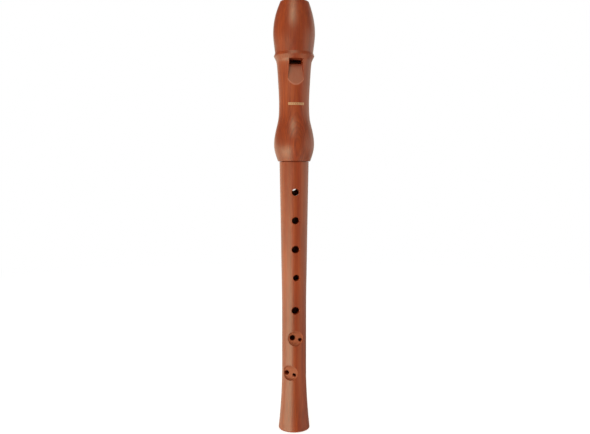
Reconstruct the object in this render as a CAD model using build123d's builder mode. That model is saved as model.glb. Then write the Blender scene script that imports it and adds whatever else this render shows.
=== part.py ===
from build123d import *
import os
from math import copysign, cos, radians, sin, tan

# A soprano recorder in two joints. The head holds the windway, the window and the block, and
# its socket slides over the corked tenon of the body, which has the finger holes and the bell.
# Z runs up the bore from the bell end at z = 0. The window and the finger holes face -Y.

# Heights along the bore
TOTAL_LENGTH = 330.0
SHOULDER_Z = 209.5  # top of the body's visible tube
TENON_TOP_Z = 229.2
SOCKET_MOUTH_Z = 209.7
SOCKET_END_Z = 229.7
EDGE_Z = 282.8  # labium edge
RAMP_FOOT_Z = 266.0
WINDOW_TOP_Z = 286.3
BORE_STRAIGHT_Z = 28.0  # the bore is parallel below this
FLARE_Z = 50.0  # the bell starts to open here
TUBE_END_Z = 95.0  # the tube starts to widen here
LOWER_TAPER_Z = 131.0
UPPER_TAPER_Z = 165.5
BULB_Z = 222.4
BULB_TOP_Z = 236.4
WAIST_Z = 254.0
NECK_Z = 270.0
COVE_START_Z = 281.5
COVE_Z = 286.3
BEAD_Z = 289.3
GROOVE_Z = 291.7
BARREL_Z = 306.2
BEAK_Z = 318.6

# Outer radii
BELL_R = 12.3
TUBE_R = 9.43  # the slim, parallel stretch above the bell
LOWER_TAPER_R = 9.9
UPPER_TAPER_R = 10.45
SHOULDER_R = 11.25
MOUTH_R = 12.35
BULB_R = 15.43
BULB_TOP_R = 13.28
WAIST_R = 11.55
NECK_R = 12.25
COVE_START_R = 13.0
COVE_R = 13.95  # where the hollow under the bead ends
BEAD_R = 15.5
GROOVE_R = 14.55  # neck between the bead and the barrel
BARREL_R = 15.98
BEAK_R = 14.65
TIP_R = 11.35

# Slopes of the outline where its curves end, as radius gained for each unit of height
SHOULDER_SLOPE = 0.018
MOUTH_SLOPE = 0.4
COVE_SLOPE = 0.5
BARREL_FOOT_SLOPE = 0.1
TIP_SLOPE = -0.34

# Bore, socket and tenon
HEAD_BORE_R = 6.6
BODY_BORE_TOP_R = 6.0
BELL_BORE_R = 4.6
SOCKET_R = 8.85
TENON_R = 8.6
FIT = 0.05  # clearance of each running fit
GROOVE_DEPTH = 1.0
CORK_Z = 214.0
CORK_LENGTH = 11.0

# Windway and window
WINDOW_WIDTH = 9.2
WINDWAY_ENTRY_WIDTH = 11.6
ROOF_EXIT_Y = -7.75
ROOF_ENTRY_Y = -8.3
FLOOR_EXIT_Y = -6.75
FLOOR_ENTRY_Y = -6.9
EXIT_CHAMFER = 0.4
EDGE_Y = -6.95
EDGE_THICKNESS = 0.2
RAMP_ANGLE = 17.8
RAMP_LENGTH = 24.0
RAMP_FLARE = 6.0  # each side of the ramp opens by this angle on the way down
WALL_DRAFT = 5.0  # the cut's side walls lean outwards by this angle
UNDERCUT_ANGLE = 8.0
UNDERCUT_LENGTH = 16.0
OUTER_RIM_Y = -10.5  # the window's outer edges all lie in front of this

# Beak, scooped out at the back
BEAK_BACK_Y = -3.2  # back of the mouthpiece at its tip
SCOOP_END_Y = 14.9
SCOOP_END_Z = 292.5
SCOOP_DEPTH = 2.5
TIP_ROUNDING = 0.8

# Holes. Angles are from the front, and positive towards +X.
# Height, angle and diameter of the single holes, the thumb hole last
SINGLE_HOLES = [
    (186.1, -0.8, 5.4),
    (164.5, -0.4, 5.5),
    (142.3, 0, 5.8),
    (120.5, 3.5, 4.9),
    (95.0, 0, 5.8),
    (189.5, 180, 5.3),
]
# Height and angle of each round recess, and its two holes by sideways place, rise and diameter
DOUBLE_HOLES = [
    (73.2, 0, [(-2.2, 0.2, 4.4), (3.75, -1.4, 3.0)]),
    (46.1, -27.5, [(-3.6, -0.5, 3.8), (2.65, -2.0, 3.0)]),
]
RECESS_R = 6.0
RECESS_DEPTH = 2.6
RECESS_CORNER = 1.2
DOUBLE_LEAN = 6.0  # the two holes of a pair lean together on their way in
DRILL_START = 1.0  # above the recess's floor
DRILL_DEPTH = 5.0  # below the recess's floor
HOLE_ROUNDING = 0.25

RIM_ROUNDING = 0.9
BORE_ROUNDING = 0.8
SMALL_ROUNDING = 0.3
WINDOW_ROUNDING = 0.25
BEAD_ROUNDING = 0.5
OVERCUT = 0.1  # how far a cut runs past the face that it opens
REACH = 2 * BARREL_R  # from the axis, past any outer surface

os.makedirs("parts", exist_ok=True)


def facing(angle, z):
    """Plane on the bore's axis at height z, its normal out at an angle from the front."""
    turn = radians(angle)
    return Plane(
        origin=(0, 0, z),
        x_dir=(cos(turn), sin(turn), 0),
        z_dir=(sin(turn), -cos(turn), 0),
    )


# Outer form of the head with the beak's scoop, shared by the head and the block
with BuildPart() as head_form:
    with BuildSketch(Plane.XZ):
        with BuildLine():
            mouth = Line((0, SOCKET_MOUTH_Z), (MOUTH_R, SOCKET_MOUTH_Z))
            bulb = Spline(
                mouth @ 1,
                (BULB_R, BULB_Z),
                (BULB_TOP_R, BULB_TOP_Z),
                (WAIST_R, WAIST_Z),
                tangents=[(MOUTH_SLOPE, 1), (0, 1)],
            )
            neck = Spline(
                bulb @ 1,
                (NECK_R, NECK_Z),
                (COVE_START_R, COVE_START_Z),
                (COVE_R, COVE_Z),
                tangents=[(0, 1), (COVE_SLOPE, 1)],
            )
            bead_under = Line(neck @ 1, (BEAD_R, BEAD_Z))
            bead_over = Line(bead_under @ 1, (GROOVE_R, GROOVE_Z))
            barrel = Spline(
                bead_over @ 1,
                (BARREL_R, BARREL_Z),
                (BEAK_R, BEAK_Z),
                (TIP_R, TOTAL_LENGTH),
                tangents=[(BARREL_FOOT_SLOPE, 1), (TIP_SLOPE, 1)],
            )
            Polyline(barrel @ 1, (0, TOTAL_LENGTH), mouth @ 0)
        make_face()
        fillet(vertices().sort_by_distance(bead_under @ 1)[0], radius=BEAD_ROUNDING)
    revolve(axis=Axis.Z)
    with BuildSketch(Plane.YZ):
        with BuildLine():
            scoop = SagittaArc(
                (BEAK_BACK_Y, TOTAL_LENGTH),
                (SCOOP_END_Y, SCOOP_END_Z),
                -SCOOP_DEPTH,
            )
            Polyline(
                scoop @ 1,
                (REACH, SCOOP_END_Z),
                (REACH, TOTAL_LENGTH + OVERCUT),
                (BEAK_BACK_Y, TOTAL_LENGTH + OVERCUT),
                scoop @ 0,
            )
        make_face()
    extrude(amount=REACH, both=True, mode=Mode.SUBTRACT)
    scoop_middle = Plane.YZ.from_local_coords(scoop @ 0.5)
    tip_face = head_form.faces().sort_by(Axis.Z)[-1]
    scoop_face = head_form.faces().sort_by_distance(scoop_middle)[0]
    beak_edges = ShapeList(set(tip_face.edges() + scoop_face.edges()))
    fillet(beak_edges, radius=TIP_ROUNDING)


# Form of the ramp that slopes down from the labium edge. Its side walls lean outwards.
with BuildPart() as ramp_form:
    ramp = Plane(
        origin=(0, EDGE_Y, EDGE_Z),
        x_dir=(1, 0, 0),
        z_dir=(0, -cos(radians(RAMP_ANGLE)), sin(radians(RAMP_ANGLE))),
    )
    with BuildSketch(ramp):
        foot_width = WINDOW_WIDTH + 2 * RAMP_LENGTH * tan(radians(RAMP_FLARE))
        with BuildLine():
            Polyline(
                (-WINDOW_WIDTH / 2, WINDOW_WIDTH),
                (WINDOW_WIDTH / 2, WINDOW_WIDTH),
                (WINDOW_WIDTH / 2, 0),
                (foot_width / 2, -RAMP_LENGTH),
                (-foot_width / 2, -RAMP_LENGTH),
                (-WINDOW_WIDTH / 2, 0),
                close=True,
            )
        make_face()
    extrude(amount=BARREL_R, taper=-WALL_DRAFT)
    split(bisect_by=Plane.XY.offset(WINDOW_TOP_Z), keep=Keep.BOTTOM)


# Head: bore, socket, windway roof, window and labium
with BuildPart() as head:
    add(head_form.part)
    with BuildSketch(Plane.XY.offset(SOCKET_MOUTH_Z)):
        Circle(HEAD_BORE_R)
    extrude(amount=TOTAL_LENGTH, mode=Mode.SUBTRACT)
    with BuildSketch(Plane.XY.offset(SOCKET_MOUTH_Z)):
        Circle(SOCKET_R)
    extrude(amount=SOCKET_END_Z - SOCKET_MOUTH_Z, mode=Mode.SUBTRACT)
    mouth_rims = head.edges().filter_by(GeomType.CIRCLE).sort_by(Axis.Z)[:2]
    fillet(mouth_rims, radius=SMALL_ROUNDING)
    # Channel of the windway, wider at the entry
    for z, width, roof_y in (
        (WINDOW_TOP_Z, WINDOW_WIDTH, ROOF_EXIT_Y),
        (TOTAL_LENGTH, WINDWAY_ENTRY_WIDTH, ROOF_ENTRY_Y),
    ):
        with BuildSketch(Plane.XY.offset(z)):
            with Locations((0, roof_y)):
                Rectangle(width, -roof_y, align=(Align.CENTER, Align.MIN))
    loft(mode=Mode.SUBTRACT)
    # Window, straight through the wall, then the form that opens it outwards and downwards
    with BuildSketch(Plane.XZ):
        with Locations((0, EDGE_Z)):
            Rectangle(WINDOW_WIDTH, WINDOW_TOP_Z - EDGE_Z, align=(Align.CENTER, Align.MIN))
    extrude(amount=REACH, mode=Mode.SUBTRACT)
    roof_exit = head.edges().sort_by_distance((0, ROOF_EXIT_Y, WINDOW_TOP_Z))[0]
    chamfer(roof_exit, length=EXIT_CHAMFER)
    add(ramp_form.part, mode=Mode.SUBTRACT)
    outer_rim = [
        edge
        for edge in head.edges().filter_by_position(Axis.Z, RAMP_FOOT_Z, WINDOW_TOP_Z)
        if edge.center().Y < OUTER_RIM_Y
    ]
    fillet(outer_rim, radius=WINDOW_ROUNDING)
    # Flat underside of the labium
    with BuildSketch(Plane.YZ):
        edge_under = EDGE_Y + EDGE_THICKNESS
        run_out = edge_under + UNDERCUT_LENGTH * tan(radians(UNDERCUT_ANGLE))
        with BuildLine():
            Polyline(
                (edge_under, EDGE_Z + OVERCUT),
                (0, EDGE_Z + OVERCUT),
                (0, EDGE_Z - UNDERCUT_LENGTH),
                (run_out, EDGE_Z - UNDERCUT_LENGTH),
                close=True,
            )
        make_face()
    extrude(amount=WINDOW_WIDTH / 2, both=True, mode=Mode.SUBTRACT)

head.part.label = "head"
export_step(head.part, "parts/head.step")


# Block: a plug in the head's bore whose raised ridge is the floor of the windway
with BuildPart() as block:
    with BuildSketch(Plane.XY.offset(WINDOW_TOP_Z)):
        Circle(HEAD_BORE_R - FIT)
    extrude(amount=TOTAL_LENGTH - WINDOW_TOP_Z)
    for z, width, floor_y in (
        (WINDOW_TOP_Z, WINDOW_WIDTH, FLOOR_EXIT_Y),
        (TOTAL_LENGTH, WINDWAY_ENTRY_WIDTH, FLOOR_ENTRY_Y),
    ):
        with BuildSketch(Plane.XY.offset(z)):
            with Locations((0, floor_y)):
                Rectangle(width - 2 * FIT, -floor_y, align=(Align.CENTER, Align.MIN))
    loft()
    floor_exit = block.edges().sort_by_distance((0, FLOOR_EXIT_Y, WINDOW_TOP_Z))[0]
    chamfer(floor_exit, length=EXIT_CHAMFER)
    add(head_form.part, mode=Mode.INTERSECT)

block.part.label = "block"
export_step(block.part, "parts/block.step")


# Form of one round recess, standing on its floor, with a rounded corner at the bottom
with BuildPart() as recess_form:
    with BuildSketch(Plane.XY):
        Circle(RECESS_R)
    extrude(amount=REACH)
    bottom_rim = recess_form.edges().filter_by(GeomType.CIRCLE).sort_by(Axis.Z)[0]
    fillet(bottom_rim, radius=RECESS_CORNER)


# Body: bell, tube, shoulder and tenon, with a tapering bore
with BuildPart() as body:
    with BuildSketch(Plane.XZ):
        with BuildLine():
            foot = Line((BELL_BORE_R, 0), (BELL_R, 0))
            side = Line((TUBE_R, FLARE_Z), (TUBE_R, TUBE_END_Z))
            TangentArc(side @ 0, foot @ 1, tangent=(0, -1))
            taper = Spline(
                side @ 1,
                (LOWER_TAPER_R, LOWER_TAPER_Z),
                (UPPER_TAPER_R, UPPER_TAPER_Z),
                (SHOULDER_R, SHOULDER_Z),
                tangents=[(0, 1), (SHOULDER_SLOPE, 1)],
            )
            Polyline(
                taper @ 1,
                (TENON_R, SHOULDER_Z),
                (TENON_R, TENON_TOP_Z),
                (BODY_BORE_TOP_R, TENON_TOP_Z),
                (BELL_BORE_R, BORE_STRAIGHT_Z),
                foot @ 0,
            )
        make_face()
        fillet(vertices().sort_by_distance(foot @ 1)[0], radius=RIM_ROUNDING)
        fillet(vertices().sort_by_distance(foot @ 0)[0], radius=BORE_ROUNDING)
        fillet(vertices().sort_by_distance(taper @ 1)[0], radius=SMALL_ROUNDING)
        chamfer(vertices().sort_by_distance((TENON_R, TENON_TOP_Z))[0], length=SMALL_ROUNDING)
    revolve(axis=Axis.Z)
    # Groove for the cork
    with BuildSketch(Plane.XY.offset(CORK_Z - FIT)):
        Circle(TENON_R + OVERCUT)
        Circle(TENON_R - GROOVE_DEPTH, mode=Mode.SUBTRACT)
    extrude(amount=CORK_LENGTH + 2 * FIT, mode=Mode.SUBTRACT)
    # Finger holes and the thumb hole, from the bore outwards
    for z, angle, diameter in SINGLE_HOLES:
        with BuildSketch(facing(angle, z)):
            Circle(diameter / 2)
        extrude(amount=REACH, mode=Mode.SUBTRACT)
        mouth_edge = body.edges(Select.LAST).sort_by_distance(
            facing(angle, z).from_local_coords((0, 0, SHOULDER_R))
        )[0]
        fillet(mouth_edge, radius=HOLE_ROUNDING)
    # Round recesses, each with two small holes in its floor
    floor_r = TUBE_R - RECESS_DEPTH
    for z, angle, pair in DOUBLE_HOLES:
        floor = facing(angle, z).offset(floor_r)
        with Locations(floor):
            add(recess_form.part, mode=Mode.SUBTRACT)
        for sideways, rise, diameter in pair:
            lean = copysign(DOUBLE_LEAN, sideways)
            hole = Location((sideways, rise, 0), (0, lean, 0))
            with BuildSketch(Plane(floor.location * hole).offset(DRILL_START)):
                Circle(diameter / 2)
            extrude(amount=-DRILL_START - DRILL_DEPTH, mode=Mode.SUBTRACT)

body.part.label = "body"
export_step(body.part, "parts/body.step")


# Cork lapping in the tenon's groove, turned to slide in the socket
with BuildPart() as tenon_cork:
    with BuildSketch(Plane.XY.offset(CORK_Z)):
        Circle(SOCKET_R - FIT)
        Circle(TENON_R - GROOVE_DEPTH + FIT, mode=Mode.SUBTRACT)
    extrude(amount=CORK_LENGTH)
    cork_rims = tenon_cork.edges().filter_by(GeomType.CIRCLE).sort_by(SortBy.RADIUS)[-2:]
    chamfer(cork_rims, length=SMALL_ROUNDING)

tenon_cork.part.label = "tenon_cork"
export_step(tenon_cork.part, "parts/tenon_cork.step")
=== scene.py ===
import math
import bmesh
import bpy
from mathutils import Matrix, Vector


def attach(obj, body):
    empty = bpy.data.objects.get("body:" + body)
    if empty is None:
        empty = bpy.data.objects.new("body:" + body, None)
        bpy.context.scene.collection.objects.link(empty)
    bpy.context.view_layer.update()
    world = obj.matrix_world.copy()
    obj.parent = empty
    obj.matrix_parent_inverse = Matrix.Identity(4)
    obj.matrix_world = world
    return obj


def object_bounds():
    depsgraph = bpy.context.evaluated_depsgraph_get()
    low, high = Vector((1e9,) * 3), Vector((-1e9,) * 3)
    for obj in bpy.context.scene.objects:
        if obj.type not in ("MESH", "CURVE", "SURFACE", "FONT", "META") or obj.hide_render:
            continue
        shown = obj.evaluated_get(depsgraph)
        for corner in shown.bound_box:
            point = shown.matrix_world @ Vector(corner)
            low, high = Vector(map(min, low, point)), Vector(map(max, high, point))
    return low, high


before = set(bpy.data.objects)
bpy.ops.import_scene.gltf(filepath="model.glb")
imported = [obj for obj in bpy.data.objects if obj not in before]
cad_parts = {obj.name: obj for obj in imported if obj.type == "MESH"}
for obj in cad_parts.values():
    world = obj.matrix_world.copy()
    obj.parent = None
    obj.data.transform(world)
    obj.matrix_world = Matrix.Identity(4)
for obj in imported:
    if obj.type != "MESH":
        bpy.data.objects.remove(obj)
CAD_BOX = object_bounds()
MM = 0.001

# Camera: level with the lower head, a little to the left of the holes, looking slightly down
CAMERA_DISTANCE = 520 * MM
CAMERA_HEIGHT = 201.5 * MM
CAMERA_AZIMUTH = -7.0
CAMERA_PITCH = 3.83
CAMERA_SIDESTEP = 0.7 * MM
CAMERA_LENS = 41.01
SENSOR_WIDTH = 36

# Soft lights round the object's middle. Azimuth is counted from the camera, positive to the
# right, and the width and the height are the angles that the light fills.
LIGHT_DISTANCE = 1.5
LIGHT_POWER = 26.0  # watts per square metre at a brightness of 1
WARM = (1.0, 0.97, 0.80)
WARM_LEFT = (1.0, 0.98, 0.75)
WARM_RIGHT = (1.0, 0.98, 0.90)
LIGHTS = [
    # name, azimuth, elevation, width, height, brightness, colour
    ("key", -53, -20, 62, 20, 0.54, WARM),
    ("key_edge", -26, -19, 44, 23, 0.15, WARM),
    ("key_low", -35, -38, 34, 22, 0.17, WARM),
    ("left", -106, -12, 40, 30, 0.16, WARM_LEFT),
    ("left_back", -137, -8, 24, 36, 0.15, WARM_LEFT),
    ("front_high", -7, 40, 27, 20, 0.49, WARM),
    ("front_narrow", -13, 40, 14, 20, 0.32, WARM),
    ("top", -13, 62, 44, 22, 0.10, WARM),
    ("right_low", 60, -25, 50, 30, 0.04, WARM_RIGHT),
    ("right", 88, 2, 60, 30, 0.11, WARM_RIGHT),
    ("right_back", 130, 8, 24, 46, 0.11, WARM_RIGHT),
    ("low_right", 90, -52, 60, 30, 0.18, WARM),
    ("back", 180, 10, 60, 40, 0.12, WARM),
]
WORLD_STRENGTH = 0.235


def make_camera():
    data = bpy.data.cameras.new("camera")
    data.lens = CAMERA_LENS
    data.sensor_width = SENSOR_WIDTH
    camera = bpy.data.objects.new("camera", data)
    bpy.context.scene.collection.objects.link(camera)
    turn = math.radians(CAMERA_AZIMUTH)
    right = Vector((math.cos(turn), math.sin(turn), 0))
    back = Vector((math.sin(turn), -math.cos(turn), 0))
    camera.location = back * CAMERA_DISTANCE + right * CAMERA_SIDESTEP
    camera.location.z = CAMERA_HEIGHT
    camera.rotation_euler = (math.radians(90 - CAMERA_PITCH), 0, turn)
    bpy.context.scene.camera = camera


def make_light(name, azimuth, elevation, width, height, brightness, color):
    data = bpy.data.lights.new(name, "AREA")
    data.shape = "RECTANGLE"
    data.size = 2 * LIGHT_DISTANCE * math.tan(math.radians(width / 2))
    data.size_y = 2 * LIGHT_DISTANCE * math.tan(math.radians(height / 2))
    data.energy = brightness * LIGHT_POWER * data.size * data.size_y
    data.color = color
    light = bpy.data.objects.new(name, data)
    bpy.context.scene.collection.objects.link(light)
    turn = math.radians(CAMERA_AZIMUTH + azimuth)
    rise = math.radians(elevation)
    level = math.cos(rise)
    away = Vector((math.sin(turn) * level, -math.cos(turn) * level, math.sin(rise)))
    middle = (Vector(CAD_BOX[0]) + Vector(CAD_BOX[1])) / 2
    light.location = middle + away * LIGHT_DISTANCE
    light.rotation_euler = (-away).to_track_quat("-Z", "Y").to_euler()
    light.visible_camera = False


def make_world():
    world = bpy.data.worlds.new("world")
    world.use_nodes = True
    background = world.node_tree.nodes["Background"]
    background.inputs["Color"].default_value = (*WARM, 1)
    background.inputs["Strength"].default_value = WORLD_STRENGTH
    bpy.context.scene.world = world
    bpy.context.scene.view_settings.view_transform = "Standard"


NEAR_CORE = 0.7  # a near() mask is full within this share of its reach


class Nodes:
    """Short helpers to build one material's node tree."""

    def __init__(self, name):
        self.material = bpy.data.materials.new(name)
        self.material.use_nodes = True
        self.tree = self.material.node_tree
        self.shader = self.tree.nodes["Principled BSDF"]

    def add(self, kind, **settings):
        node = self.tree.nodes.new(kind)
        for key, value in settings.items():
            setattr(node, key, value)
        return node

    def plug(self, source, socket):
        if hasattr(source, "is_linked"):
            self.tree.links.new(source, socket)
        else:
            socket.default_value = source

    def set(self, **sockets):
        """Feeds the shader's sockets, named with _ for a space."""
        for name, source in sockets.items():
            self.plug(source, self.shader.inputs[name.replace("_", " ")])

    def math(self, operation, a, b=0.0, c=0.0):
        node = self.add("ShaderNodeMath", operation=operation)
        for socket, value in zip(node.inputs, (a, b, c)):
            self.plug(value, socket)
        return node.outputs[0]

    def hypotenuse(self, a, b):
        return self.math("SQRT", self.math("MULTIPLY_ADD", a, a, self.math("MULTIPLY", b, b)))

    def vector(self, operation, a, b=(0, 0, 0)):
        node = self.add("ShaderNodeVectorMath", operation=operation)
        self.plug(a, node.inputs[0])
        self.plug(b, node.inputs[1])
        return node.outputs["Value" if operation in ("DOT_PRODUCT", "LENGTH") else "Vector"]

    def parts(self, vector):
        node = self.add("ShaderNodeSeparateXYZ")
        self.plug(vector, node.inputs[0])
        return node.outputs

    def span(self, value, low, high):
        """0 below low, 1 above high, and smooth between. low may be the larger one."""
        node = self.add("ShaderNodeMapRange", interpolation_type="SMOOTHSTEP")
        for socket, number in zip(node.inputs[:5], (value, low, high, 0.0, 1.0)):
            self.plug(number, socket)
        return node.outputs[0]

    def near(self, value, centre, reach):
        """1 where a value is at the centre, and 0 further from it than reach."""
        offset = self.math("ABSOLUTE", self.math("SUBTRACT", value, centre))
        return self.span(offset, reach, reach * NEAR_CORE)

    def all_of(self, *masks):
        result = masks[0]
        for mask in masks[1:]:
            result = self.math("MULTIPLY", result, mask)
        return result

    def any_of(self, *masks):
        result = masks[0]
        for mask in masks[1:]:
            result = self.math("MAXIMUM", result, mask)
        return result

    def mix(self, factor, a, b, blend="MIX"):
        node = self.add("ShaderNodeMix", data_type="RGBA", blend_type=blend)
        sockets = (node.inputs[0], node.inputs[6], node.inputs[7])  # those that mix colours
        for socket, source in zip(sockets, (factor, a, b)):
            if isinstance(source, tuple):
                source = (*source, 1)
            self.plug(source, socket)
        return node.outputs[2]

    def tint(self, factor, color, filter_color):
        return self.mix(factor, color, self.mix(1.0, color, filter_color, "MULTIPLY"))

    def ramp(self, value, stops):
        node = self.add("ShaderNodeValToRGB")
        elements = node.color_ramp.elements
        while len(elements) < len(stops):
            elements.new(0.5)
        for element, (place, color) in zip(elements, stops):
            element.position = place
            element.color = (*color, 1)
        self.plug(value, node.inputs[0])
        return node.outputs[0]

    def noise(self, place, stretch=(1, 1, 1), detail=2.0, color=False):
        """Noise about 1 mm across, made finer along each axis by the stretch."""
        node = self.add("ShaderNodeTexNoise")
        self.plug(self.vector("MULTIPLY", place, stretch), node.inputs["Vector"])
        node.inputs["Scale"].default_value = 1.0
        node.inputs["Detail"].default_value = detail
        return node.outputs["Color" if color else "Fac"]

    def bump(self, height, depth):
        """Bumps of a depth in millimetres."""
        node = self.add("ShaderNodeBump")
        node.inputs["Distance"].default_value = depth * MM
        self.plug(height, node.inputs["Height"])
        self.plug(node.outputs[0], self.shader.inputs["Normal"])


def surface_point(n):
    """Point on the piece at rest, in millimetres."""
    source = n.add("ShaderNodeTexCoord").outputs["Object"]
    return n.vector("MULTIPLY", source, (1 / MM, 1 / MM, 1 / MM))


def surface_normal(n):
    return n.add("ShaderNodeTexCoord").outputs["Normal"]


def from_axis(n, point):
    """A point's direction from the object's axis, and its distance."""
    sideways = n.vector("MULTIPLY", point, (1, 1, 0))
    return n.vector("NORMALIZE", sideways), n.vector("LENGTH", sideways)


# Figure of all wood. A stretch is how fine a noise is along x, y and z.
DRIFT_STRETCH = (0.05, 0.05, 0.011)
DRIFT = (5.0, 5.0, 0)  # how far the grain wanders, in millimetres
RING_DARKENS = (0.25, 0.92)  # late wood, as shares of a ring's width
RING_ENDS = (1.0, 0.93)
STREAK_STRETCH = (1.0, 1.0, 0.014)
FINE_STRETCH = (4.5, 4.5, 0.12)
CLOUD_STRETCH = (0.09, 0.09, 0.02)
PORE_STRETCH = (17.0, 17.0, 1.7)
PORES = (0.62, 0.74)
MEAN = 0.5
RARE_MEAN = 0.1  # of the late wood and the pores
RING_WEIGHT = -0.16
YEAR_WEIGHT = 0.08
STREAK_WEIGHT = 0.80
FINE_WEIGHT = 0.45
CLOUD_WEIGHT = 0.65
PORE_WEIGHT = -0.10


def wood_figure(n, point, blank, heart, lean, ring_width, rings, contrast):
    """Tone, fine streaks and pores of a piece turned from one blank. The growth rings are
    shells round the tree's heart, which leans a little, and the grain wanders along the blank."""
    place = n.vector("ADD", point, blank)
    drift = n.vector("SUBTRACT", n.noise(place, DRIFT_STRETCH, color=True), (MEAN, MEAN, MEAN))
    wandered = n.vector("ADD", point, n.vector("MULTIPLY", drift, DRIFT))
    from_heart = n.vector("SUBTRACT", wandered, heart)
    sideways = n.vector("DOT_PRODUCT", from_heart, (1, 0, 0))
    back = n.vector("DOT_PRODUCT", from_heart, (0, 1, lean))
    years = n.math("DIVIDE", n.hypotenuse(sideways, back), ring_width)
    growth = n.math("FRACT", years)
    late_wood = n.all_of(n.span(growth, *RING_DARKENS), n.span(growth, *RING_ENDS))
    year_tone = n.add("ShaderNodeTexWhiteNoise", noise_dimensions="1D")
    n.plug(n.math("FLOOR", years), year_tone.inputs["W"])
    streaks = n.noise(place, STREAK_STRETCH, detail=3.0)
    fine = n.noise(place, FINE_STRETCH)
    cloud = n.noise(place, CLOUD_STRETCH, detail=1.0)
    pores = n.span(n.noise(place, PORE_STRETCH, detail=0.0), *PORES)
    tone = MEAN
    for value, mean, weight in (
        (n.math("MULTIPLY", late_wood, rings), RARE_MEAN, RING_WEIGHT),
        (year_tone.outputs["Value"], MEAN, YEAR_WEIGHT),
        (streaks, MEAN, STREAK_WEIGHT),
        (fine, MEAN, FINE_WEIGHT),
        (cloud, MEAN, CLOUD_WEIGHT),
        (pores, RARE_MEAN, PORE_WEIGHT),
    ):
        share = n.math("MULTIPLY", n.math("SUBTRACT", value, mean), weight * contrast)
        tone = n.math("ADD", share, tone)
    return tone, fine, pores


# Pearwood, stained red-brown and oiled. Tones run from dark to light.
PEARWOOD_TONES = [
    (0.15, (0.190, 0.0187, 0.0042)),
    (0.42, (0.275, 0.0305, 0.0066)),
    (0.62, (0.330, 0.0410, 0.0092)),
    (0.90, (0.420, 0.0630, 0.0148)),
]
ORANGE_AND_LIT_SIDE_FILTER = (1.06, 1.27, 0.93)
ORANGE_STRETCH = (0.35, 0.35, 0.008)
ORANGE_PATCHES = (0.35, 0.65)
LIT_SIDE_X = (-3.0, -9.0)  # painted light: the left side, which faces the key light, is tinted lighter and more orange
LIT_SIDE_SHARE = 0.9
PEARWOOD_ROUGHNESS = 0.32
GRAIN_ROUGHNESS = 0.10  # added by the fine streaks, and again by the pores
PEARWOOD_BUMP = 0.005
PORE_BUMP = 0.6  # depth of the pores against the fine streaks
SPECULAR_TINT = (0.89, 1.0, 0.79, 1)
SPECULAR_LEVEL = 0.73
INNER_WOOD_AND_BLOCK_SHADE = (0.330, 0.046, 0.012)  # in the bore, the holes and the windway, and as painted shade on the cedar block's lower end
FADE = 0.1  # millimetres over which one look gives way to another


def pearwood(name):
    n = Nodes(name)
    n.set(Specular_IOR_Level=SPECULAR_LEVEL, Specular_Tint=SPECULAR_TINT)
    return n


def pearwood_skin(n, point, blank, **figure):
    """Color and roughness of the wood's outside."""
    tone, fine, pores = wood_figure(n, point, blank, **figure)
    color = n.ramp(tone, PEARWOOD_TONES)
    patches = n.span(n.noise(n.vector("ADD", point, blank), ORANGE_STRETCH), *ORANGE_PATCHES)
    # painted light: the left side, where the key light falls, is tinted lighter and more orange;
    # the patches are the wood's own tone
    painted_lit_side = n.math("MULTIPLY", n.span(n.parts(point)[0], *LIT_SIDE_X), LIT_SIDE_SHARE)
    color = n.tint(n.any_of(patches, painted_lit_side), color, ORANGE_AND_LIT_SIDE_FILTER)
    roughness = n.math("MULTIPLY_ADD", fine, GRAIN_ROUGHNESS, PEARWOOD_ROUGHNESS)
    roughness = n.math("MULTIPLY_ADD", pores, GRAIN_ROUGHNESS, roughness)
    n.bump(n.math("SUBTRACT", fine, n.math("MULTIPLY", pores, PORE_BUMP)), PEARWOOD_BUMP)
    return color, roughness


# Head, in millimetres as in the CAD model
HEAD_BLANK = (31.0, 7.0, 13.0)
HEAD_FIGURE = dict(heart=(0.8, -21.0, 240.0), lean=0.10, ring_width=1.5, contrast=1.1)
FAINT_RINGS = 0.25
BULB_RINGS = 0.95  # added on the bulb, where the rings are clearest
BULB_Z = (262, 248)
# painted shade on the beak
BEAK_SHADE_FILTER = (0.86, 0.76, 0.74)
BEAK_SHADE_SHARE = 0.8
BEAK_Z = (284, 294)
HEAD_BORE_R = 6.6
SOCKET_END_Z = 229.7
WINDOW_TOP_Z = 286.3
WINDOW_HALF_WIDTH = 6.5
EDGE_Y = -6.95
EDGE_Z = 282.8
RAMP_ANGLE = 17.8
RAMP_FRONT_Y = (-6.0, -6.5)
WALL_X = (6.3, 6.1)
WALL_FACING = (0.90, 0.95)  # how far the cut's side walls face sideways
NECK_Z = 270.0
NECK_R = 12.25
NECK_SLOPE = 0.055  # radius gained for each unit of height, round the ramp's foot
RAMP_SKIN = 0.08
RIM_SKIN = 0.25
RIM_DEPTH = (0.36, 0.16)
# bare cut wood, made paler and pinker by painted sheen
CUT_WOOD_AND_SHEEN = (0.32, 0.062, 0.032)
CUT_STRETCH = (3.2, 1.0, 0.10)
CUT_GRAIN = (0.36, 0.64)
CUT_GRAIN_SHARE = 0.55
WALL_SHARE = 0.7
# painted highlight along the rim round the ramp's foot
RIM_HIGHLIGHT = (0.44, 0.115, 0.066)
RIM_HIGHLIGHT_SHARE = 0.8
INWARD = (-0.2, -0.5)
DOWNWARD = (-0.6, -0.7)


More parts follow.
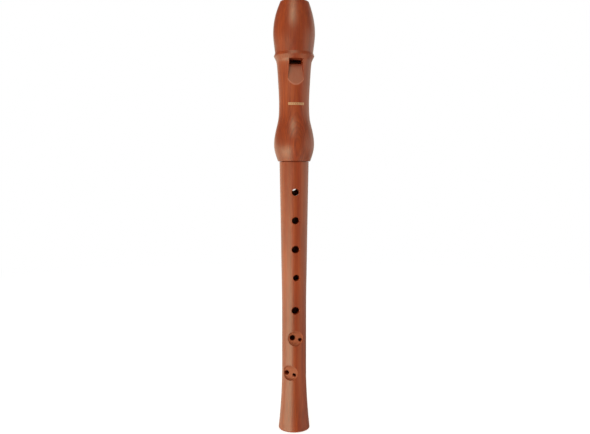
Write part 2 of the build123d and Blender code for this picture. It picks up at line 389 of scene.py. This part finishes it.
def ramp_masks(n, point, normal, radius):
    """The ramp down from the labium, the walls beside it, and a painted highlight along the rim
    round its foot.
    """
    x, y, z = n.parts(point)
    tilt = math.radians(RAMP_ANGLE)
    square = (0, -math.cos(tilt), math.sin(tilt))
    from_edge = n.vector("SUBTRACT", point, (0, EDGE_Y, EDGE_Z))
    off_ramp = n.vector("DOT_PRODUCT", from_edge, square)
    in_cut = n.all_of(
        n.span(y, *RAMP_FRONT_Y),
        n.span(z, EDGE_Z + 2 * FADE, EDGE_Z),
        n.span(n.math("ABSOLUTE", x), *WALL_X),
    )
    on_ramp = n.all_of(in_cut, n.near(off_ramp, 0, RAMP_SKIN))
    sideways = n.math("ABSOLUTE", n.parts(normal)[0])
    walls = n.all_of(in_cut, n.span(sideways, *WALL_FACING))
    outside = n.math("MULTIPLY_ADD", n.math("SUBTRACT", z, NECK_Z), NECK_SLOPE, NECK_R)
    to_outside = n.math("SUBTRACT", outside, radius)
    rim_highlight = n.all_of(in_cut, n.near(off_ramp, 0, RIM_SKIN), n.span(to_outside, *RIM_DEPTH))
    return on_ramp, walls, rim_highlight


def inside_head(n, point, normal):
    """Mask of the bore, the windway and the top of the window."""
    x, y, z = n.parts(point)
    away, radius = from_axis(n, point)
    bore = n.all_of(
        n.span(radius, HEAD_BORE_R + 4 * FADE, HEAD_BORE_R + FADE),
        n.span(z, SOCKET_END_Z + 2 * FADE, SOCKET_END_Z + 1),
    )
    outward = n.vector("DOT_PRODUCT", normal, away)
    windway = n.all_of(n.span(outward, *INWARD), n.span(z, WINDOW_TOP_Z - 1, WINDOW_TOP_Z))
    window = n.all_of(
        n.near(x, 0, WINDOW_HALF_WIDTH),
        n.near(z, WINDOW_TOP_Z, 7 * FADE),
        n.span(n.parts(normal)[2], *DOWNWARD),
    )
    return n.any_of(bore, windway, window)


def make_head_wood():
    n = pearwood("pearwood_head")
    point = surface_point(n)
    normal = surface_normal(n)
    radius = from_axis(n, point)[1]
    z = n.parts(point)[2]
    rings = n.math("MULTIPLY_ADD", n.span(z, *BULB_Z), BULB_RINGS, FAINT_RINGS)
    color, roughness = pearwood_skin(n, point, HEAD_BLANK, rings=rings, **HEAD_FIGURE)
    # painted shade: the beak is darkened, fully from 294 mm up
    painted_beak_shade = n.math("MULTIPLY", n.span(z, *BEAK_Z), BEAK_SHADE_SHARE)
    color = n.tint(painted_beak_shade, color, BEAK_SHADE_FILTER)
    # The ramp is bare cut wood with a painted sheen, inside a painted highlight along its rim
    on_ramp, walls, rim_highlight = ramp_masks(n, point, normal, radius)
    grain = n.span(n.noise(point, CUT_STRETCH), *CUT_GRAIN)
    # the ramp and its walls: bare cut wood with grain, paled by painted sheen
    cut_and_sheen_color = n.mix(n.math("MULTIPLY", grain, CUT_GRAIN_SHARE), CUT_WOOD_AND_SHEEN, color)
    color = n.mix(n.any_of(on_ramp, n.math("MULTIPLY", walls, WALL_SHARE)), color, cut_and_sheen_color)
    # painted highlight along the rim round the ramp's foot
    color = n.mix(n.math("MULTIPLY", rim_highlight, RIM_HIGHLIGHT_SHARE), color, RIM_HIGHLIGHT)
    color = n.mix(inside_head(n, point, normal), color, INNER_WOOD_AND_BLOCK_SHADE)
    n.set(Base_Color=color, Roughness=roughness)
    return n.material


# Body, in millimetres as in the CAD model
BODY_BLANK = (5.0, 19.0, 41.0)
BODY_FIGURE = dict(heart=(-28.0, 30.0, 0), lean=0.0, ring_width=1.1, rings=0.4, contrast=1.0)
TUBE_R = 9.43  # the outside, at the recesses
RECESSES = [(73.2, 0.0), (46.1, -27.5)]  # height, and angle from the front
RECESS_R = 6.0
RECESS_FLOOR_R = 6.83
SKIN = 0.03  # kept clear of the tube's outside and of the recess's floor
DISH_WOOD = (0.345, 0.067, 0.021)
FLECK_WOOD = (0.50, 0.150, 0.075)
FLECK_STRETCH = (3.2, 3.2, 1.4)
FLECKS = (0.40, 0.70)
FLECK_SHARE = 0.35
DISH_ROUGHNESS = 0.7
BORE_LOW_Z = (0.8, 1.2)
BORE_HIGH_Z = (229, 228)
HOLES_LOW_Z = (83, 84)  # below the single holes
HOLES_HIGH_Z = (201, 200)
HOLE_FACING = (0.5, 0.3)  # a hole's wall doesn't face outwards


def recess_mask(n, point, radius, height, angle):
    """The floor and the wall of one round recess, which faces out at an angle from the front."""
    turn = math.radians(angle)
    depth = n.vector("DOT_PRODUCT", point, (math.sin(turn), -math.cos(turn), 0))
    sideways = n.vector("DOT_PRODUCT", point, (math.cos(turn), math.sin(turn), 0))
    rise = n.math("SUBTRACT", n.parts(point)[2], height)
    return n.all_of(
        n.span(radius, TUBE_R - SKIN, TUBE_R - FADE),
        n.span(depth, RECESS_FLOOR_R - FADE, RECESS_FLOOR_R - SKIN),
        n.span(n.hypotenuse(sideways, rise), RECESS_R + FADE, RECESS_R),
    )


def inside_body(n, point):
    """Mask of the bore and of the walls of the holes."""
    z = n.parts(point)[2]
    away, radius = from_axis(n, point)
    bore = n.all_of(
        n.span(radius, RECESS_FLOOR_R - SKIN, RECESS_FLOOR_R - FADE),
        n.span(z, *BORE_LOW_Z),
        n.span(z, *BORE_HIGH_Z),
    )
    outward = n.vector("DOT_PRODUCT", surface_normal(n), away)
    holes = n.all_of(
        n.span(outward, *HOLE_FACING),
        n.span(z, *HOLES_LOW_Z),
        n.span(z, *HOLES_HIGH_Z),
    )
    return n.any_of(bore, holes)


def make_body_wood():
    n = pearwood("pearwood_body")
    point = surface_point(n)
    radius = from_axis(n, point)[1]
    color, roughness = pearwood_skin(n, point, BODY_BLANK, **BODY_FIGURE)
    # The two round recesses, freshly cut and finely speckled
    dishes = n.any_of(*(recess_mask(n, point, radius, *recess) for recess in RECESSES))
    flecks = n.span(n.noise(point, FLECK_STRETCH, detail=3.0), *FLECKS)
    dish_color = n.mix(n.math("MULTIPLY", flecks, FLECK_SHARE), DISH_WOOD, FLECK_WOOD)
    color = n.mix(dishes, color, dish_color)
    color = n.mix(inside_body(n, point), color, INNER_WOOD_AND_BLOCK_SHADE)
    roughness = n.any_of(roughness, n.math("MULTIPLY", dishes, DISH_ROUGHNESS))
    n.set(Base_Color=color, Roughness=roughness)
    return n.material


# Cedar block
CEDAR_BLANK = (3.0, 11.0, 5.0)
CEDAR_FIGURE = dict(heart=(18.0, 9.0, 0), lean=0.0, ring_width=1.1, rings=1.0, contrast=1.4)
CEDAR_TONES = [
    (0.2, (0.34, 0.13, 0.055)),
    (0.6, (0.50, 0.23, 0.11)),
    (0.9, (0.62, 0.33, 0.18)),
]
CEDAR_ROUGHNESS = 0.55
CEDAR_GRAIN_ROUGHNESS = 0.15
CEDAR_BUMP = 0.02
BLOCK_SHADE_START = 1.2  # painted shade on the block's lower end, seen through the window, reaches up to here
BLOCK_SHADE_FULL = 0.5


def make_cedar():
    n = Nodes("cedar_block")
    point = surface_point(n)
    tone, fine, pores = wood_figure(n, point, CEDAR_BLANK, **CEDAR_FIGURE)
    z = n.parts(point)[2]
    # painted shade: the block's lower end, seen through the window, is darkened to a red-brown
    painted_block_shade = n.span(z, WINDOW_TOP_Z + BLOCK_SHADE_START, WINDOW_TOP_Z + BLOCK_SHADE_FULL)
    n.set(Base_Color=n.mix(painted_block_shade, n.ramp(tone, CEDAR_TONES), INNER_WOOD_AND_BLOCK_SHADE))
    n.set(Roughness=n.math("MULTIPLY_ADD", fine, CEDAR_GRAIN_ROUGHNESS, CEDAR_ROUGHNESS))
    n.bump(n.math("SUBTRACT", fine, pores), CEDAR_BUMP)
    return n.material


# Cork lapping
CORK_TONES = [
    (0.3, (0.36, 0.19, 0.085)),
    (0.5, (0.55, 0.35, 0.18)),
    (0.75, (0.68, 0.47, 0.27)),
]
CORK_STRETCH = (2.2, 2.2, 2.2)
CORK_GRAIN = (0.16, 0.07, 0.03)
CORK_GRAIN_SHIFT = (9.0, 4.0, 2.0)
CORK_GRAIN_STRETCH = (0.9, 0.9, 2.4)
CORK_GRAINS = (0.60, 0.68)
CORK_GRAIN_SHARE = 0.8
CORK_ROUGHNESS = 0.55
CORK_CELL_ROUGHNESS = 0.2
CORK_BUMP = 0.12


def make_cork():
    n = Nodes("cork_lapping")
    point = surface_point(n)
    cells = n.noise(point, CORK_STRETCH, detail=4.0)
    shifted = n.vector("ADD", point, CORK_GRAIN_SHIFT)
    grains = n.span(n.noise(shifted, CORK_GRAIN_STRETCH, detail=1.0), *CORK_GRAINS)
    grain_share = n.math("MULTIPLY", grains, CORK_GRAIN_SHARE)
    n.set(Base_Color=n.mix(grain_share, n.ramp(cells, CORK_TONES), CORK_GRAIN))
    n.set(Roughness=n.math("MULTIPLY_ADD", cells, CORK_CELL_ROUGHNESS, CORK_ROUGHNESS))
    n.bump(n.math("SUBTRACT", cells, grains), CORK_BUMP)
    return n.material


# Pressed gilt ornament across the waist: lozenges between two thin rules
GILT_TONES = [
    (0.25, (0.50, 0.28, 0.14)),
    (0.5, (0.68, 0.42, 0.23)),
    (0.8, (0.78, 0.52, 0.31)),
]
GILT_STRETCH = (1.8, 1.8, 1.8)
GILT_METAL = 0.3
GILT_ROUGHNESS = 0.3
GILT_WEAR_ROUGHNESS = 0.3
GILT_BUMP = 0.01
ORNAMENT_Z = 252.7
ORNAMENT_HEIGHT = 1.8
ORNAMENT_HALF_ANGLE = 31.5
ORNAMENT_TURN = 2.0  # its middle, counted from the front towards +X
RULE_HEIGHT = 0.38
LOZENGE_COUNT = 9
LOZENGE_WIDTH = 0.94  # of the room between two lozenges' middles
LOZENGE_END = 0.12  # height of a lozenge's blunt ends, against its middle
FOIL_PROUD = 0.03
FOIL_SUNK = 0.05
FOIL_STEPS = 48  # along a rule


def make_gilt():
    n = Nodes("gilt_foil")
    wear = n.noise(surface_point(n), GILT_STRETCH, detail=3.0)
    n.set(Base_Color=n.ramp(wear, GILT_TONES), Metallic=GILT_METAL)
    n.set(Roughness=n.math("MULTIPLY_ADD", wear, GILT_WEAR_ROUGHNESS, GILT_ROUGHNESS))
    n.bump(wear, GILT_BUMP)
    return n.material


def surface_radius(node, angle, z):
    """Radius of a node's outer surface at a height, at an angle from the front."""
    turn = math.radians(angle)
    away = Vector((math.sin(turn), -math.cos(turn), 0))
    start = away * (CAD_BOX[1][0] * 2) + Vector((0, 0, z))
    hit, place, _, _ = node.ray_cast(start, -away)
    if not hit:
        raise ValueError(f"no surface at {angle}, {z}")
    return place.xy.length


def foil_patch(mesh, node, outline):
    """Closed thin piece of foil on a node's surface, from an outline of (angle, height in mm).
    The first half of the outline is its lower edge, and the second half comes back above it."""
    rings = []
    for lift in (-FOIL_SUNK, FOIL_PROUD):
        ring = []
        for angle, z in outline:
            radius = surface_radius(node, angle, z * MM) + lift * MM
            turn = math.radians(angle)
            place = (radius * math.sin(turn), -radius * math.cos(turn), z * MM)
            ring.append(mesh.verts.new(place))
        rings.append(ring)
    inner, outer = rings
    count = len(outline)
    for i in range(count // 2 - 1):
        a, b = i, i + 1
        c, d = count - 2 - i, count - 1 - i
        mesh.faces.new((outer[a], outer[b], outer[c], outer[d]))
        mesh.faces.new((inner[d], inner[c], inner[b], inner[a]))
    for i in range(count):
        j = (i + 1) % count
        mesh.faces.new((inner[i], inner[j], outer[j], outer[i]))


def add_rules(foil, node, first_angle):
    step = 2 * ORNAMENT_HALF_ANGLE / FOIL_STEPS
    angles = [first_angle + step * i for i in range(FOIL_STEPS + 1)]
    low = ORNAMENT_Z - ORNAMENT_HEIGHT / 2
    high = ORNAMENT_Z + ORNAMENT_HEIGHT / 2
    for bottom in (low, high - RULE_HEIGHT):
        lower = [(angle, bottom) for angle in angles]
        upper = [(angle, bottom + RULE_HEIGHT) for angle in reversed(angles)]
        foil_patch(foil, node, lower + upper)


def add_lozenges(foil, node, first_angle):
    pitch = 2 * ORNAMENT_HALF_ANGLE / LOZENGE_COUNT
    reach = ORNAMENT_HEIGHT / 2 - RULE_HEIGHT
    end = reach * LOZENGE_END
    for i in range(LOZENGE_COUNT):
        middle = first_angle + pitch * (i + 0.5)
        left = middle - pitch * LOZENGE_WIDTH / 2
        right = middle + pitch * LOZENGE_WIDTH / 2
        lower = [(left, ORNAMENT_Z - end), (middle, ORNAMENT_Z - reach), (right, ORNAMENT_Z - end)]
        upper = [(right, ORNAMENT_Z + end), (middle, ORNAMENT_Z + reach), (left, ORNAMENT_Z + end)]
        foil_patch(foil, node, lower + upper)


def make_piece(name, shape, material):
    mesh = bpy.data.meshes.new(name)
    shape.to_mesh(mesh)
    shape.free()
    mesh.materials.append(material)
    piece = bpy.data.objects.new(name, mesh)
    bpy.context.scene.collection.objects.link(piece)
    return piece


def make_ornament(node, material):
    foil = bmesh.new()
    first_angle = ORNAMENT_TURN - ORNAMENT_HALF_ANGLE
    add_rules(foil, node, first_angle)
    add_lozenges(foil, node, first_angle)
    bmesh.ops.recalc_face_normals(foil, faces=foil.faces)
    ornament = make_piece("gilt_ornament", foil, material)
    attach(ornament, "head")


# Stage
FLOOR_RADIUS = 3.0
BACKDROP_RADIUS = 5.0
STAGE_STEPS = 96
FLOOR_COLOR = (0.74, 0.75, 0.80)
FLOOR_SPECK = (0.5, 0.5, 0.5)
FLOOR_SPECK_SHARE = 0.04
FLOOR_STRETCH = (0.05, 0.05, 0.05)
FLOOR_ROUGHNESS = 0.9
FLOOR_GLOW = 0.72
GLOW_RISES = (350.0, 1000.0)  # millimetres from the object's axis
BLACK = (0, 0, 0)
WHITE = (1, 1, 1, 1)


def make_floor_material():
    """Pale and lit round the object, and a plain glow further out, as bright as the backdrop."""
    n = Nodes("pale_floor")
    point = surface_point(n)
    specks = n.math("MULTIPLY", n.noise(point, FLOOR_STRETCH), FLOOR_SPECK_SHARE)
    near_color = n.mix(specks, FLOOR_COLOR, FLOOR_SPECK)
    far = n.span(from_axis(n, point)[1], *GLOW_RISES)
    n.set(Base_Color=n.mix(far, near_color, BLACK), Roughness=FLOOR_ROUGHNESS)
    n.set(Specular_IOR_Level=0.0, Emission_Color=WHITE)
    n.set(Emission_Strength=n.math("MULTIPLY_ADD", far, 1 - FLOOR_GLOW, FLOOR_GLOW))
    return n.material


def make_backdrop_material():
    n = Nodes("pale_backdrop")
    n.set(Base_Color=(*BLACK, 1), Specular_IOR_Level=0.0)
    n.set(Emission_Color=WHITE, Emission_Strength=1.0)
    return n.material


def put_on_stage(piece):
    # The stage glows for the camera alone, so lights below the floor's level reach the object
    piece.visible_diffuse = False
    piece.visible_glossy = False
    piece.visible_transmission = False
    piece.visible_shadow = False


def make_stage():
    floor = bmesh.new()
    bmesh.ops.create_circle(floor, cap_ends=True, segments=STAGE_STEPS, radius=FLOOR_RADIUS)
    put_on_stage(make_piece("floor", floor, make_floor_material()))
    backdrop = bmesh.new()
    bmesh.ops.create_uvsphere(
        backdrop,
        u_segments=STAGE_STEPS,
        v_segments=STAGE_STEPS // 2,
        radius=BACKDROP_RADIUS,
    )
    put_on_stage(make_piece("backdrop", backdrop, make_backdrop_material()))


def dress(name, material):
    """Gives a CAD node its material."""
    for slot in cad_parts[name].material_slots:
        slot.material = material


make_camera()
make_world()
make_stage()
for light in LIGHTS:
    make_light(*light)
dress("head", make_head_wood())
dress("body", make_body_wood())
dress("block", make_cedar())
dress("tenon_cork", make_cork())
make_ornament(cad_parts["head"], make_gilt())
